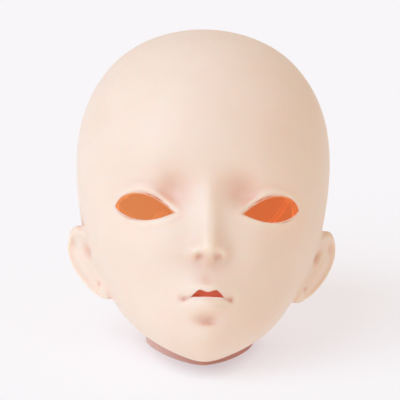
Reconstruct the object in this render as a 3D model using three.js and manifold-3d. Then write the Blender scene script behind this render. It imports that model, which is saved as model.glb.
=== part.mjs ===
// Head of a ball-jointed doll: a hollow resin face with ears and a neck socket,
// and a head cap that four pairs of disc magnets hold against it.
// Millimetres, Z up. The face looks along -Y and the neck rim stands on Z = 0.

import * as THREE from "three";
import { mergeVertices } from "three/addons/utils/BufferGeometryUtils.js";
import Module from "manifold-3d";

const wasm = await Module();
wasm.setup();

const degrees = Math.PI / 180;

// Head form, measured from the middle of the skull
const CROWN_RISE = 42.7;
const CHIN_DROP = 46;
const SKULL_HALF_WIDTH = 32.9;
const FACE_REACH = 41;
const BACK_REACH = 35.6;
const CROWN_BACK = 2;
const CHIN_FORWARD = 23;

// How the head stands: tipped back on its neck rim, the chin clear of the table
const REST_TILT = 22 * degrees;
const CHIN_CLEARANCE = 3.2;

// Resin wall
const WALL = 3.6;
const FACE_WALL = 6;
const LID_THICKNESS = 1.4;

// Eyes
const EYE_SPACING = 31.2;
const EYE_DROP = 9.2;
const EYE_WIDTH = 14.3;
const UPPER_LID_RISE = 3.8;
const LOWER_LID_DROP = 3;
const EYE_SLANT = 9 * degrees;
const EYE_BULGE = 2.4;
const LID_CREASE_RISE = 2.4;
const LID_CREASE_DEPTH = 0.22;
const EYE_WELL_RADIUS = 8.4;
const EYE_TURN = 18 * degrees;

// Nose and mouth
const NOSE_TIP_DROP = 19.5;
const NOSE_TIP_RISE = 5.4;
const NOSE_LENGTH = 21;
const NOSE_BASE_DROP = 6.2;
const NOSE_SIDE_WIDTH = 3;
const NOSE_BASE_WIDTH = 1.7;
const NOSE_HALF_WIDTH = 3.6;
const MOUTH_DROP = 31.1;
const MOUTH_WIDTH = 7.8;
const MOUTH_LINE_WIDTH = 12;
const MOUTH_OPENING = 1.65;
const MOUTH_DEPTH = 2.2;

// Ears
const EAR_HEIGHT = 22;
const EAR_REACH = 6.4;
const EAR_ROOT = 6;
const EAR_NARROWING = 0.28;
const EAR_THICKNESS = 2.6;
const EAR_RIM_RISE = 0.6;
const EAR_SINK = 4.4;
const EAR_BACK = -3.5;
const EAR_DROP = 19.9;
const EAR_FLARE = 34 * degrees;
const EAR_SPLAY = 29 * degrees;
const EAR_LEAN = 18 * degrees;

// Neck socket
const NECK_RIM_RADIUS = 14;
const NECK_RIM_FRONT = 20;
const NECK_RIM_BACK = 14;
const NECK_FORWARD = 9.3;
const COLLAR_HEIGHT = 17;
const COLLAR_WAIST = 0.6;
const SOCKET_MOUTH_RADIUS = 10.6;
const SOCKET_DEPTH = 6;
const NECK_HOLE_RADIUS = 6;

// Parting between face and cap
const PARTING_BACK = 26.5;
const PARTING_LEAN = 30 * degrees;
const PARTING_GAP = 0.3;
const TONGUE_LENGTH = 1.6;
const TONGUE_THICKNESS = 1.5;
const TONGUE_CLEARANCE = 0.3;

// Magnets
const MAGNET_RADIUS = 2.5;
const MAGNET_THICKNESS = 2;
const MAGNET_CLEARANCE = 0.15;
const BOSS_WALL = 1.3;
const BOSS_LENGTH = 6;

// How far tools run past the material that they cut
const PAST = 1;

// Materials
const resin = new THREE.MeshStandardMaterial({ color: 0xf2d9ca, roughness: 0.45, metalness: 0 });
const nickel = new THREE.MeshStandardMaterial({ color: 0xc9c7c2, roughness: 0.25, metalness: 1 });

// Height of a driving-curve point: a share of the rise to the crown or of the drop to the chin
const heightAt = (share) => share * (share > 0 ? CROWN_RISE : CHIN_DROP);

// Angle from the crown pole to the chin pole; curves in it leave both poles smoothly
const middle = (CROWN_RISE - CHIN_DROP) / 2;
const halfHeight = (CROWN_RISE + CHIN_DROP) / 2;
const poleAngle = (z) => Math.acos(Math.min(1, Math.max(-1, (z - middle) / halfHeight)));

// Natural cubic through points of [position, value], positions rising
function naturalCubic(points) {
  const n = points.length;
  const x = points.map((p) => p[0]);
  const f = points.map((p) => p[1]);
  const gap = (i) => x[i + 1] - x[i];
  const rise = (i) => (f[i + 1] - f[i]) / gap(i);
  const bend = new Array(n).fill(0);
  const fade = new Array(n).fill(0);
  for (let i = 1; i < n - 1; i++) {
    const pivot = 2 * (gap(i - 1) + gap(i)) - gap(i - 1) * fade[i - 1];
    fade[i] = gap(i) / pivot;
    bend[i] = (6 * (rise(i) - rise(i - 1)) - gap(i - 1) * bend[i - 1]) / pivot;
  }
  for (let i = n - 2; i > 0; i--) {
    bend[i] -= fade[i] * bend[i + 1];
  }
  return (at) => {
    let i = 0;
    while (i < n - 2 && at > x[i + 1]) i++;
    const w = gap(i);
    const left = x[i + 1] - at;
    const right = at - x[i];
    const curved = (bend[i] * left ** 3 + bend[i + 1] * right ** 3) / (6 * w);
    const start = (f[i] / w - (bend[i] * w) / 6) * left;
    const end = (f[i + 1] / w - (bend[i + 1] * w) / 6) * right;
    return curved + start + end;
  };
}

// Driving curve of the head from [height share, value] points, crown to chin
const drivingCurve = (points) =>
  naturalCubic(points.map(([share, value]) => [poleAngle(heightAt(share)), value]));

// Half width of the head seen from the front, as a share of the skull's half width
const widthShare = drivingCurve([
  [1, 0], [0.95, 0.385], [0.84, 0.646], [0.73, 0.786], [0.58, 0.905], [0.43, 0.972], [0.24, 1.005], [0.05, 1],
  [-0.19, 0.955], [-0.37, 0.888], [-0.51, 0.796], [-0.67, 0.666], [-0.74, 0.596], [-0.81, 0.508],
  [-0.87, 0.407], [-0.93, 0.274], [-0.972, 0.152], [-1, 0],
]);

// Reach of each level section from its centre to the face
const faceShare = drivingCurve([
  [1, 0], [0.917, 0.43], [0.786, 0.698], [0.62, 0.861], [0.43, 0.954], [0.21, 1], [0, 0.998], [-0.19, 0.97],
  [-0.37, 0.912], [-0.56, 0.802], [-0.72, 0.644], [-0.84, 0.463], [-0.92, 0.3], [-0.972, 0.144], [-1, 0],
]);

// Reach of each level section from its centre to the back of the head
const backShare = drivingCurve([
  [1, 0], [0.917, 0.446], [0.786, 0.685], [0.62, 0.84], [0.43, 0.952], [0.21, 1], [0, 0.98], [-0.19, 0.9],
  [-0.37, 0.79], [-0.51, 0.69], [-0.62, 0.6], [-0.72, 0.49], [-0.81, 0.36], [-0.88, 0.23],
  [-0.94, 0.135], [-0.977, 0.062], [-1, 0],
]);

// Centres of the level sections: over the neck in the skull, forward under the chin
const sectionCentre = drivingCurve([
  [1, CROWN_BACK], [0.7, CROWN_BACK + 2], [0.24, CROWN_BACK + 2],
  [-0.23, CROWN_BACK + 1], [-0.47, CROWN_BACK - 2],
  [-0.67, -0.26 * CHIN_FORWARD], [-0.84, -0.61 * CHIN_FORWARD], [-1, -CHIN_FORWARD],
]);

// Power of the sections' rounding: 2 is an ellipse, more is squarer
const squareness = drivingCurve([[1, 2], [0.48, 2.1], [0, 2.25], [-0.35, 2.3], [-0.7, 2.1], [-1, 2]]);

// Soft round hill about a point, from the distances across and up over their half widths
const swell = (across, up, wide, tall) => Math.exp(-((across / wide) ** 2) - (up / tall) ** 2);
const sumOf = (forms, across, up) =>
  forms.reduce((sum, f) => sum + f.rise * swell(across - f.across, up - f.up, f.wide, f.tall), 0);

// Places on the face
const eyeX = EYE_SPACING / 2;
const eyeZ = -EYE_DROP;
const tipZ = -NOSE_TIP_DROP;
const mouthZ = -MOUTH_DROP;
const mouthToChin = CHIN_DROP - MOUTH_DROP;

// Soft forms of the face, the same on both sides: place across and up, half width, half height and rise
const faceForms = [
  {
    form: "eye hollow", across: eyeX, up: eyeZ + 1.5,
    wide: 0.77 * EYE_WIDTH, tall: 0.455 * EYE_WIDTH, rise: -3,
  },
  {
    form: "inner brow hollow", across: 0.54 * eyeX, up: eyeZ + 4.6,
    wide: 0.27 * eyeX, tall: 0.35 * EYE_WIDTH, rise: -2.6,
  },
  { form: "root of the nose", across: 0, up: eyeZ + 5.4, wide: 6, tall: 5, rise: -1.3 },
  { form: "nose wing", across: NOSE_HALF_WIDTH, up: tipZ - 1, wide: 1.4, tall: 1.8, rise: 1.3 },
  { form: "nostril", across: 0.58 * NOSE_HALF_WIDTH, up: tipZ - 1.9, wide: 0.9, tall: 0.8, rise: -1.4 },
  { form: "muzzle", across: 0, up: mouthZ + 1, wide: 9, tall: 6.5, rise: 1.4 },
  { form: "upper lip", across: 0, up: mouthZ + 2.2, wide: 4.2, tall: 1.6, rise: 0.9 },
  { form: "lower lip", across: 0, up: mouthZ - 2, wide: 4, tall: 1.9, rise: 1.4 },
  { form: "mouth corner", across: MOUTH_LINE_WIDTH / 2, up: mouthZ - 0.5, wide: 1.2, tall: 1, rise: -0.8 },
  { form: "lip groove", across: 0, up: mouthZ + 4, wide: 1.2, tall: 1.8, rise: -0.2 },
  { form: "chin dent", across: 0, up: mouthZ - 0.37 * mouthToChin, wide: 3, tall: 1.2, rise: -1.3 },
  {
    form: "chin", across: 0, up: mouthZ - 0.77 * mouthToChin,
    wide: 0.44 * mouthToChin, tall: 0.27 * mouthToChin, rise: 1.2,
  },
  { form: "cheek", across: 0.395 * SKULL_HALF_WIDTH, up: tipZ + 1, wide: 7.5, tall: 7.5, rise: 1.3 },
];

// Height of the nose ridge over the face, from the lip up to the brow
const noseFoot = tipZ - NOSE_BASE_DROP;
const noseTop = tipZ + NOSE_LENGTH;
const noseShares = [
  [-1, 0], [-0.742, 0.08], [-0.5, 0.36], [-0.242, 0.82], [0, 1],
  [0.076, 0.92], [0.238, 0.59], [0.476, 0.36], [0.762, 0.16], [1, 0],
];
const noseHeight = (share) => tipZ + share * (share < 0 ? NOSE_BASE_DROP : NOSE_LENGTH);
const noseRidge = naturalCubic(noseShares.map(([share, rise]) => [noseHeight(share), rise * NOSE_TIP_RISE]));

// Half width of the ridge, which draws in under the tip
function ridgeHalfWidth(z) {
  const aboveBase = THREE.MathUtils.smoothstep(z, noseHeight(-0.645), noseHeight(-0.08));
  return NOSE_BASE_WIDTH + (NOSE_SIDE_WIDTH - NOSE_BASE_WIDTH) * aboveBase;
}

// Lid edges of one eye over its corner line; along runs from the inner corner (-1) to the outer (1)
function lidCurve(height, inner, outer) {
  const peak = (inner - outer) / (inner + outer);
  const most = (1 + peak) ** inner * (1 - peak) ** outer;
  const within = (along) => (height * (1 + along) ** inner * (1 - along) ** outer) / most;
  return (along) => (Math.abs(along) >= 1 ? 0 : within(along));
}
const upperLid = lidCurve(UPPER_LID_RISE, 0.95, 0.62);
const lowerLid = lidCurve(LOWER_LID_DROP, 1, 0.74);

// How far the lids stand forward: a swell over the eye, with a crease above the upper lid's edge
function lidRelief(side, z) {
  const dx = side - eyeX;
  const dz = z - eyeZ;
  const along = dx * Math.cos(EYE_SLANT) + dz * Math.sin(EYE_SLANT);
  const up = dz * Math.cos(EYE_SLANT) - dx * Math.sin(EYE_SLANT);
  const aboveLid = up - upperLid(along / (EYE_WIDTH / 2)) - LID_CREASE_RISE;
  const crease = swell(aboveLid, 0, LID_CREASE_RISE / 3, 1) * Math.exp(-((along / (0.62 * EYE_WIDTH)) ** 4));
  return EYE_BULGE * swell(along, up, 0.56 * EYE_WIDTH, 1.3 * UPPER_LID_RISE) - LID_CREASE_DEPTH * crease;
}

// How far the face stands forward of the plain head form
function relief(x, z) {
  const side = Math.abs(x);
  const onNose = z < noseTop && z > noseFoot;
  const nose = onNose ? noseRidge(z) / (1 + (side / ridgeHalfWidth(z)) ** 2.6) : 0;
  return sumOf(faceForms, side, z) + lidRelief(side, z) + nose;
}

// Distance from a section's centre to the plain head form, at a bearing from straight ahead
function sectionRadius(angle, bearing) {
  const wide = Math.max(1e-3, SKULL_HALF_WIDTH * widthShare(angle));
  const reach = Math.cos(bearing) > 0 ? FACE_REACH * faceShare(angle) : BACK_REACH * backShare(angle);
  const power = squareness(angle);
  const ahead = (Math.abs(Math.cos(bearing)) / Math.max(1e-3, reach)) ** power;
  return (ahead + (Math.abs(Math.sin(bearing)) / wide) ** power) ** (-1 / power);
}

// 1 on the face, 0 on the sides and back
const frontness = (bearing) => THREE.MathUtils.smoothstep(Math.cos(bearing), 0.1, 0.5);

// Point of the head form with its face relief
function outerPoint(angle, bearing) {
  const radius = sectionRadius(angle, bearing);
  const x = radius * Math.sin(bearing);
  const z = middle + halfHeight * Math.cos(angle);
  const forward = radius * Math.cos(bearing) + frontness(bearing) * relief(x, z);
  return new THREE.Vector3(x, sectionCentre(angle) - forward, z);
}

// Point of the plain form drawn in by a wall, and by more behind the face, where its hollows need it
function innerPoint(angle, bearing) {
  const inset = WALL + frontness(bearing) * (FACE_WALL - WALL);
  const radius = Math.max(0, sectionRadius(angle, bearing) - inset * Math.sin(angle));
  const z = middle + (halfHeight - WALL) * Math.cos(angle);
  return new THREE.Vector3(radius * Math.sin(bearing), sectionCentre(angle) - radius * Math.cos(bearing), z);
}

// Values from one end to the other, closer together where the weight is greater
function spread(count, from, to, weight) {
  const fine = 600;
  const sums = [0];
  for (let i = 0; i < fine; i++) {
    sums.push(sums[i] + weight(from + ((i + 0.5) / fine) * (to - from)));
  }
  let k = 0;
  return Array.from({ length: count + 1 }, (_, i) => {
    const goal = (i / count) * sums[fine];
    while (k < fine - 1 && sums[k + 1] < goal) k++;
    return from + ((k + (goal - sums[k]) / (sums[k + 1] - sums[k])) / fine) * (to - from);
  });
}

// Closed surface from rows of points between two poles, each row a closed ring
function closedRows(rows) {
  const ring = rows[1].length;
  const points = [rows[0][0], ...rows.slice(1, -1).flat(), rows[rows.length - 1][0]];
  const last = points.length - 1;
  const faces = [];
  for (let j = 0; j < ring; j++) {
    const next = (j + 1) % ring;
    faces.push(0, 1 + next, 1 + j);
    for (let i = 0; i < rows.length - 3; i++) {
      const top = 1 + i * ring;
      const low = top + ring;
      faces.push(top + j, top + next, low + j);
      faces.push(top + next, low + next, low + j);
    }
    faces.push(last, last - ring + j, last - ring + next);
  }
  return solid(new THREE.BufferGeometry().setFromPoints(points).setIndex(faces));
}

// Solid of a three.js geometry
function solid(geometry) {
  const bare = geometry.clone();
  bare.deleteAttribute("normal");
  bare.deleteAttribute("uv");
  const merged = mergeVertices(bare, 1e-4);
  const vertProperties = new Float32Array(merged.attributes.position.array);
  const triVerts = new Uint32Array(merged.index.array);
  const body = new wasm.Manifold(new wasm.Mesh({ numProp: 3, vertProperties, triVerts }));
  return body.volume() < 0 ? solid(flipped(merged)) : body;
}

function flipped(geometry) {
  const index = Array.from(geometry.index.array);
  for (let i = 0; i < index.length; i += 3) {
    [index[i], index[i + 1]] = [index[i + 1], index[i]];
  }
  return geometry.clone().setIndex(index);
}

// Outside of the head as a closed solid, its rows and columns closer together over the face
function outerForm() {
  const facing = poleAngle(mouthZ / 2);
  const angles = spread(50, 0, Math.PI, (a) => 1 + 1.6 * swell(a - facing, 0, 0.6, 1));
  const bearings = spread(60, -Math.PI, Math.PI, (b) => 1 + 1.8 * swell(b, 0, 0.65, 1)).slice(0, -1);
  return closedRows(angles.map((a) => bearings.map((b) => outerPoint(a, b))));
}

// Inside of the head, a wall in from the outside
function innerForm() {
  const angles = spread(20, 0, Math.PI, () => 1);
  const bearings = spread(30, -Math.PI, Math.PI, () => 1).slice(0, -1);
  return closedRows(angles.map((a) => bearings.map((b) => innerPoint(a, b))));
}

// Forms on the front of the ear, outward and up from its middle
const earForms = [
  { form: "shell hollow", across: -2.2, up: 2.4, wide: 0.9, tall: 2, rise: -1.2 },
  { form: "inner fold", across: 1.8, up: 0.5, wide: 1.2, tall: 4.4, rise: 0.3 },
  { form: "upper hollow", across: 1.4, up: 7.6, wide: 1.5, tall: 1.6, rise: -0.5 },
  { form: "front flap", across: -4.4, up: -1.6, wide: 1.5, tall: 1.8, rise: 1 },
  { form: "notch", across: 0, up: -6.3, wide: 0.8, tall: 0.8, rise: -0.7 },
  { form: "lobe", across: -1.4, up: -8.8, wide: 2.4, tall: 1.8, rise: 0.5 },
];

// Ear as a plate on an egg-shaped outline: rings from the middle of its front, over its edge, to its back
function earForm(side) {
  const upward = new THREE.Vector3(Math.tan(EAR_SPLAY), Math.tan(EAR_LEAN), 1).normalize();
  const flare = new THREE.Vector3(Math.sin(EAR_FLARE), Math.cos(EAR_FLARE), 0);
  const outward = flare.projectOnPlane(upward).normalize();
  const facing = new THREE.Vector3().crossVectors(outward, upward);
  const point = (roll, turn) => {
    const share = Math.sin(roll) ** 0.75;
    const half = Math.cos(turn) > 0 ? EAR_REACH : EAR_ROOT;
    const across = share * Math.cos(turn) * half * (1 + EAR_NARROWING * Math.sin(turn));
    const up = share * Math.sin(turn) * (EAR_HEIGHT / 2);
    const plate = Math.sign(Math.cos(roll)) * Math.abs(Math.cos(roll)) ** 0.6 * (EAR_THICKNESS / 2);
    const onFront = THREE.MathUtils.smoothstep(Math.cos(roll), 0.05, 0.5);
    const overLobe = THREE.MathUtils.smoothstep(Math.sin(turn) + 0.5 * Math.cos(turn), -0.75, -0.1);
    const rim = EAR_RIM_RISE * swell(share - 0.86, 0, 0.09, 1) * overLobe;
    const made = new THREE.Vector3(SKULL_HALF_WIDTH - EAR_SINK, EAR_BACK, -EAR_DROP);
    made.addScaledVector(outward, across).addScaledVector(upward, up);
    made.addScaledVector(facing, plate + onFront * (rim + sumOf(earForms, across, up)));
    return new THREE.Vector3(side * made.x, made.y, made.z);
  };
  const rolls = spread(14, 0, Math.PI, () => 1);
  const turns = spread(28, 0, 2 * Math.PI, () => 1).slice(0, -1);
  return closedRows(rolls.map((roll) => turns.map((turn) => point(roll, turn))));
}

const place = (body, matrix) => body.transform(matrix.elements);

// Plan outline pushed along -Y, for openings in the face
function faceCut(points, across, up, from, to) {
  const shape = new THREE.Shape(points);
  const cut = new THREE.ExtrudeGeometry(shape, { depth: to - from, bevelEnabled: false });
  cut.rotateX(Math.PI / 2);
  return solid(cut.translate(across, -from, up));
}

// Almond opening of one eye, from the middle of its well out past the face
function eyeCut(side) {
  const corners = spread(14, 0, Math.PI, () => 1).map((a) => -Math.cos(a));
  const over = corners.map((along) => [along, upperLid(along)]);
  const under = corners.slice(1, -1).reverse().map((along) => [along, -lowerLid(along)]);
  const turned = [...over, ...under].map(([along, up]) => {
    const out = along * (EYE_WIDTH / 2);
    const across = out * Math.cos(EYE_SLANT) - up * Math.sin(EYE_SLANT);
    return new THREE.Vector2(side * across, up * Math.cos(EYE_SLANT) + out * Math.sin(EYE_SLANT));
  });
  return faceCut(turned, side * eyeX, eyeZ, faceDepth(eyeX, eyeZ) - lidToWell, 2 * FACE_REACH);
}

// Middle of an eye's well behind the face of its lids
const lidToWell = LID_THICKNESS + EYE_WELL_RADIUS;

// Face depth in front of the skull's middle at a place on the face
function faceDepth(x, z) {
  const angle = poleAngle(z);
  let low = 0;
  let high = Math.PI / 2;
  for (let i = 0; i < 40; i++) {
    const bearing = (low + high) / 2;
    if (sectionRadius(angle, bearing) * Math.sin(bearing) < Math.abs(x)) low = bearing;
    else high = bearing;
  }
  return sectionRadius(angle, low) * Math.cos(low) - sectionCentre(angle) + relief(x, z);
}

const ball = (radius, x, y, z) => solid(new THREE.SphereGeometry(radius, 22, 14).translate(x, y, z));

// Head frame to rest pose and back
const toRest = new THREE.Matrix4().makeRotationX(-REST_TILT);
const toHead = toRest.clone().invert();

// Frame of the parting: its Y axis points off the face shell, square to the parting face
const partingTurn = new THREE.Matrix4().makeRotationX(PARTING_LEAN);
const partingFrame = new THREE.Matrix4().makeTranslation(0, PARTING_BACK, 0).multiply(partingTurn);
const far = 2 * (CROWN_RISE + CHIN_DROP);

// Everything between two depths behind the parting face
function behindParting(from, to) {
  const slab = new THREE.BoxGeometry(2 * far, to - from, 2 * far).translate(0, (from + to) / 2, 0);
  return place(solid(slab), partingFrame);
}

// Rod square to the parting face between two depths
function partingRod(radius, [across, up], from, to) {
  const rod = new THREE.CylinderGeometry(radius, radius, to - from, 24);
  return place(solid(rod.translate(across, (from + to) / 2, up)), partingFrame);
}

// Distance from the middle of the parting face to the outside of the head, in a direction across it
function partingReach(middleUp, direction) {
  let low = 0;
  let high = far;
  for (let i = 0; i < 40; i++) {
    const reach = (low + high) / 2;
    const point = new THREE.Vector3(reach * Math.cos(direction), 0, middleUp + reach * Math.sin(direction));
    point.applyMatrix4(partingFrame);
    const angle = poleAngle(point.z);
    const back = point.y - sectionCentre(angle);
    const inside = Math.hypot(point.x, back) < sectionRadius(angle, Math.atan2(point.x, -back));
    if (inside) low = reach;
    else high = reach;
  }
  return low;
}

// Head, ears and neck collar, cut level at the rim that the head stands on
const head = outerForm();
const rimLevel = place(head, toRest).boundingBox().min[2] - CHIN_CLEARANCE;
const neckFrame = toHead.clone().multiply(new THREE.Matrix4().makeTranslation(0, -NECK_FORWARD, rimLevel));

// Profile turned about the neck, each direction drawn out by its share
function neckTurned(profile, share) {
  const points = profile.map(([radius, up]) => new THREE.Vector2(radius, up));
  const turned = new THREE.LatheGeometry(points, 40).rotateX(Math.PI / 2);
  const at = turned.attributes.position;
  for (let i = 0; i < at.count; i++) {
    const drawn = share(Math.atan2(at.getY(i), at.getX(i)));
    at.setXY(i, drawn * at.getX(i), drawn * at.getY(i));
  }
  return place(solid(turned), neckFrame);
}

// Share of the rim's half width that its egg-shaped outline reaches: a soft V in front, round behind
function rimShare(direction) {
  const ahead = Math.sin(direction) < 0;
  const power = ahead ? 1.5 : 2;
  const reach = (ahead ? NECK_RIM_FRONT : NECK_RIM_BACK) / NECK_RIM_RADIUS;
  const across = Math.abs(Math.cos(direction)) ** power;
  return (across + (Math.abs(Math.sin(direction)) / reach) ** power) ** (-1 / power);
}

// Collar under the head, following the jaw
const collarProfile = [
  [0, 0], [NECK_RIM_RADIUS, 0], [NECK_RIM_RADIUS - COLLAR_WAIST, 0.3 * COLLAR_HEIGHT],
  [NECK_RIM_RADIUS - COLLAR_WAIST, 0.8 * COLLAR_HEIGHT], [0, COLLAR_HEIGHT],
];
const collar = neckTurned(collarProfile, rimShare);
const tableBlock = new THREE.BoxGeometry(2 * far, 2 * far, far).translate(0, 0, -far / 2);
const underTable = place(solid(tableBlock), neckFrame);
const outside = head.add(earForm(1)).add(earForm(-1)).add(collar).subtract(underTable);

// Neck socket: a round seat for the body's neck ball, with a hole for the elastic and its hook
const socketRadius = (SOCKET_MOUTH_RADIUS ** 2 + SOCKET_DEPTH ** 2) / (2 * SOCKET_DEPTH);
const socketBall = (radius) => place(ball(radius, 0, 0, SOCKET_DEPTH - socketRadius), neckFrame);
const holeTop = SOCKET_DEPTH + WALL + PAST;
const holeProfile = [[0, -PAST], [NECK_HOLE_RADIUS, -PAST], [NECK_HOLE_RADIUS, holeTop], [0, holeTop]];
const neckHole = neckTurned(holeProfile, () => 1);

// Hollow of the head, kept off the socket by the wall, with a round well behind each lid opening
const eyeWell = (side) => {
  const across = eyeX - lidToWell * Math.sin(EYE_TURN);
  return ball(EYE_WELL_RADIUS, side * across, lidToWell * Math.cos(EYE_TURN) - faceDepth(eyeX, eyeZ), eyeZ);
};
const hollow = innerForm().subtract(socketBall(socketRadius + WALL)).add(eyeWell(1)).add(eyeWell(-1));

// Mouth pocket: a bowed upper edge over a nearly straight lower one
function mouthCut() {
  const half = MOUTH_WIDTH / 2;
  const shape = new THREE.Shape().moveTo(-half, 0);
  const bow = MOUTH_OPENING;
  shape.bezierCurveTo(-0.8 * half, 0.7 * bow, -0.55 * half, bow, -0.4 * half, bow);
  shape.quadraticCurveTo(-0.2 * half, bow, 0, 0.65 * bow);
  shape.quadraticCurveTo(0.2 * half, bow, 0.4 * half, bow);
  shape.bezierCurveTo(0.55 * half, bow, 0.8 * half, 0.7 * bow, half, 0);
  shape.quadraticCurveTo(0, -0.2 * bow, -half, 0);
  const floor = faceDepth(0, mouthZ) - MOUTH_DEPTH;
  return faceCut(shape.getPoints(5).slice(0, -1), 0, mouthZ, floor, 2 * FACE_REACH);
}

// Four magnet places round the parting face, set in from the outside by their bosses
const pocketRadius = MAGNET_RADIUS + MAGNET_CLEARANCE;
const bossRadius = pocketRadius + BOSS_WALL;
const partingMiddle = (partingReach(0, Math.PI / 2) - partingReach(0, -Math.PI / 2)) / 2;
const magnetPlaces = [
  ["upper", "left", 45], ["upper", "right", 135], ["lower", "right", 250], ["lower", "left", 290],
];
const magnets = magnetPlaces.map(([level, side, bearing]) => {
  const direction = bearing * degrees;
  const reach = partingReach(partingMiddle, direction) - bossRadius - BOSS_WALL / 2;
  const at = [reach * Math.cos(direction), partingMiddle + reach * Math.sin(direction)];
  return { name: level + "_" + side, at };
});

const joined = (bodies) => bodies.reduce((sum, body) => sum.add(body));
const rods = (radius, from, to) => joined(magnets.map(({ at }) => partingRod(radius, at, from, to)));
const pocketDepth = MAGNET_THICKNESS + MAGNET_CLEARANCE;

// Prism square to the parting face, on the head's own outline there drawn in
function partingRing(inset, from, to) {
  const directions = spread(48, 0, 2 * Math.PI, () => 1).slice(0, -1);
  const outline = directions.map((direction) => {
    const reach = partingReach(partingMiddle, direction) - inset;
    return new THREE.Vector2(reach * Math.cos(direction), partingMiddle + reach * Math.sin(direction));
  });
  const ring = new THREE.ExtrudeGeometry(new THREE.Shape(outline), { depth: to - from, bevelEnabled: false });
  return place(solid(ring.rotateX(Math.PI / 2).translate(0, to, 0)), partingFrame);
}

// Face shell, with a rabbet inside its rim for the cap's tongue
const tongueInset = WALL - TONGUE_THICKNESS;
const rabbet = partingRing(tongueInset - TONGUE_CLEARANCE, -TONGUE_LENGTH - TONGUE_CLEARANCE, PAST);
const faceShell = outside
  .subtract(hollow)
  .subtract(rabbet)
  .add(rods(bossRadius, -BOSS_LENGTH, 0).intersect(outside))
  .subtract(behindParting(0, far))
  .subtract(rods(pocketRadius, -pocketDepth, PAST))
  .subtract(eyeCut(1))
  .subtract(eyeCut(-1))
  .subtract(mouthCut())
  .subtract(socketBall(socketRadius))
  .subtract(neckHole);

// Head cap, with a tongue that stops either side of each boss
const capFace = PARTING_GAP;
const tongue = partingRing(tongueInset, -TONGUE_LENGTH, capFace + PAST)
  .subtract(partingRing(WALL, -far, far))
  .subtract(rods(bossRadius + TONGUE_CLEARANCE, -far, capFace));
const headCap = outside
  .subtract(hollow)
  .add(rods(bossRadius, capFace, capFace + BOSS_LENGTH).intersect(outside))
  .intersect(behindParting(capFace, far))
  .add(tongue)
  .subtract(rods(pocketRadius, -PAST, capFace + pocketDepth));

// Mesh of a solid, turned from the head's frame to the rest pose on the neck rim
const standing = new THREE.Matrix4().makeTranslation(0, 0, -rimLevel).multiply(toRest);

function node(name, body, material) {
  const made = place(body, standing).getMesh();
  const geometry = new THREE.BufferGeometry();
  geometry.setAttribute("position", new THREE.BufferAttribute(new Float32Array(made.vertProperties), 3));
  geometry.setIndex(new THREE.BufferAttribute(new Uint32Array(made.triVerts), 1));
  geometry.computeVertexNormals();
  const mesh = new THREE.Mesh(geometry, material);
  mesh.name = name;
  return mesh;
}

const group = new THREE.Group();
group.add(node("face_shell", faceShell, resin));
group.add(node("head_cap", headCap, resin));
for (const { name, at } of magnets) {
  group.add(node("shell_magnet_" + name, partingRod(MAGNET_RADIUS, at, -MAGNET_THICKNESS, 0), nickel));
  const capMagnet = partingRod(MAGNET_RADIUS, at, capFace, capFace + MAGNET_THICKNESS);
  group.add(node("cap_magnet_" + name, capMagnet, nickel));
}

// The origin is the middle of the part's box, on the table
const box = new THREE.Box3().setFromObject(group);
const centre = box.getCenter(new THREE.Vector3());
for (const mesh of group.children) {
  mesh.geometry.translate(-centre.x, -centre.y, -box.min.z);
}

export default group;
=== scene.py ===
"""Looks of a ball-jointed doll's head: a hollow resin face and its head cap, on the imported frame.

Shapes are worked out in millimetres in the head's own frame (x to the doll's left, y to the back, z up,
from the middle of the skull), tipped back on to the neck rim and turned to metres in the frame.
"""

import math

import bmesh
import bpy
import numpy as np
from mathutils import Matrix, Vector


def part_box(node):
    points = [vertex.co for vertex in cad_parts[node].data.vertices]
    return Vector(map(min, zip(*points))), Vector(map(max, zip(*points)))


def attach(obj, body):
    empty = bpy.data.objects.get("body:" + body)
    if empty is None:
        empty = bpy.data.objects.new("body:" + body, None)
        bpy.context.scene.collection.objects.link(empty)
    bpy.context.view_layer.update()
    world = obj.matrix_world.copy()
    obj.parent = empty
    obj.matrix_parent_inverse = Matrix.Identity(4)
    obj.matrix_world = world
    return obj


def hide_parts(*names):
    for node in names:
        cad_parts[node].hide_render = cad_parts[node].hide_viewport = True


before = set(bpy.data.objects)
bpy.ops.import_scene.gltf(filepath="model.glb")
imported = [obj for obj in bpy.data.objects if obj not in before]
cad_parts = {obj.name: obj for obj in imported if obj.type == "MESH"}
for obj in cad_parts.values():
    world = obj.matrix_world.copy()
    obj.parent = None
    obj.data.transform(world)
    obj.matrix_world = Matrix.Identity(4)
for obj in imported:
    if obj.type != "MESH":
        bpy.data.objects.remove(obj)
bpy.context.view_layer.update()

# Head form, measured from the middle of the skull
CROWN_RISE = 42.7
CHIN_DROP = 46.0
SKULL_HALF_WIDTH = 32.9
FACE_REACH = 41.0
BACK_REACH = 35.6
CROWN_BACK = 2.0
CHIN_FORWARD = 23.0

# How the head stands: tipped back on its neck rim, the chin clear of the table
REST_TILT = math.radians(22)
CHIN_CLEARANCE = 3.2

# Resin wall
WALL = 3.6
FACE_WALL = 6.0
LID_THICKNESS = 1.4

# Eyes
EYE_SPACING = 31.2
EYE_DROP = 9.2
EYE_WIDTH = 14.3
UPPER_LID_RISE = 3.8
LOWER_LID_DROP = 3.0
EYE_SLANT = math.radians(9)
EYE_WELL_RADIUS = 8.4
EYE_TURN = math.radians(18)
EYE_POCKET_DEPTHS = (0, 0.3, 0.8, 1.6, 3, 6, 9)

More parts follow.
